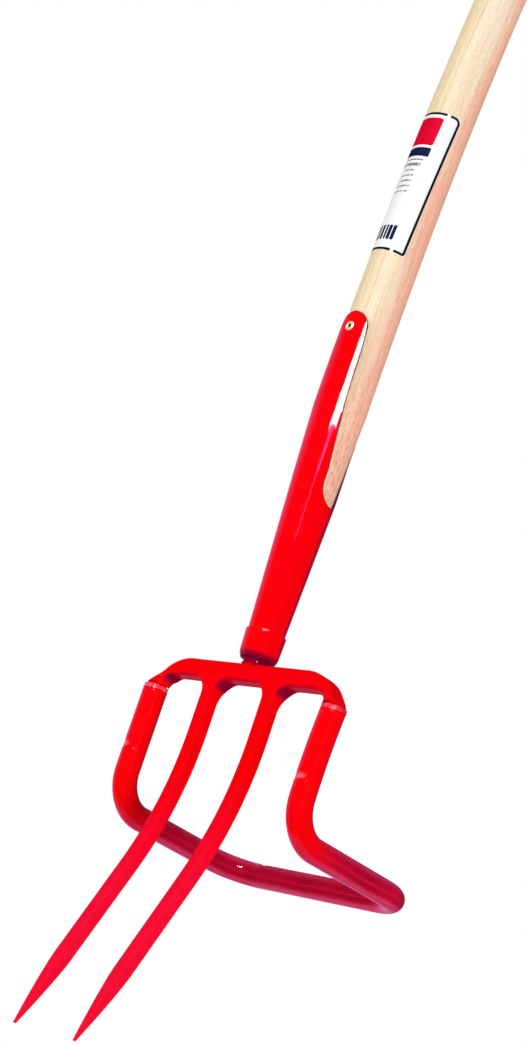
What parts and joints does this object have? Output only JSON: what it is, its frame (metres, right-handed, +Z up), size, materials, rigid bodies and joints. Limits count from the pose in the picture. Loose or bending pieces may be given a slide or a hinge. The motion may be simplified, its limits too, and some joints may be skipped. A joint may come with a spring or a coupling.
{
  "type": "weeding fork",
  "caption": "Long-handled garden fork with two curved tines on a crossbar and a bent tube lever behind them, on a socketed wooden handle.",
  "frame": {"origin": "mid height of the crossbar, in the middle plane of the tines", "axes": "+Z up along the socket and handle, -Y to the front, where the tines curve, +X across the head to the right as seen from the front"},
  "size_m": [0.203, 0.2308, 1.4222],
  "materials": {
    "red_paint": "gloss red paint over steel",
    "ash_wood": "smooth, clear lacquered",
    "rivet_steel": "plated, slightly yellow",
    "label_paper": "coated white label"
  },
  "bodies": {
    "root": {"handle": "ash_wood", "socket": "red_paint", "ferrule": "red_paint", "strap_rivet": "rivet_steel", "fork_head": "red_paint", "neck_weld": "red_paint", "lever_tube": "red_paint", "weld_left": "red_paint", "weld_right": "red_paint", "label": "label_paper"}
  },
  "joints": []
}
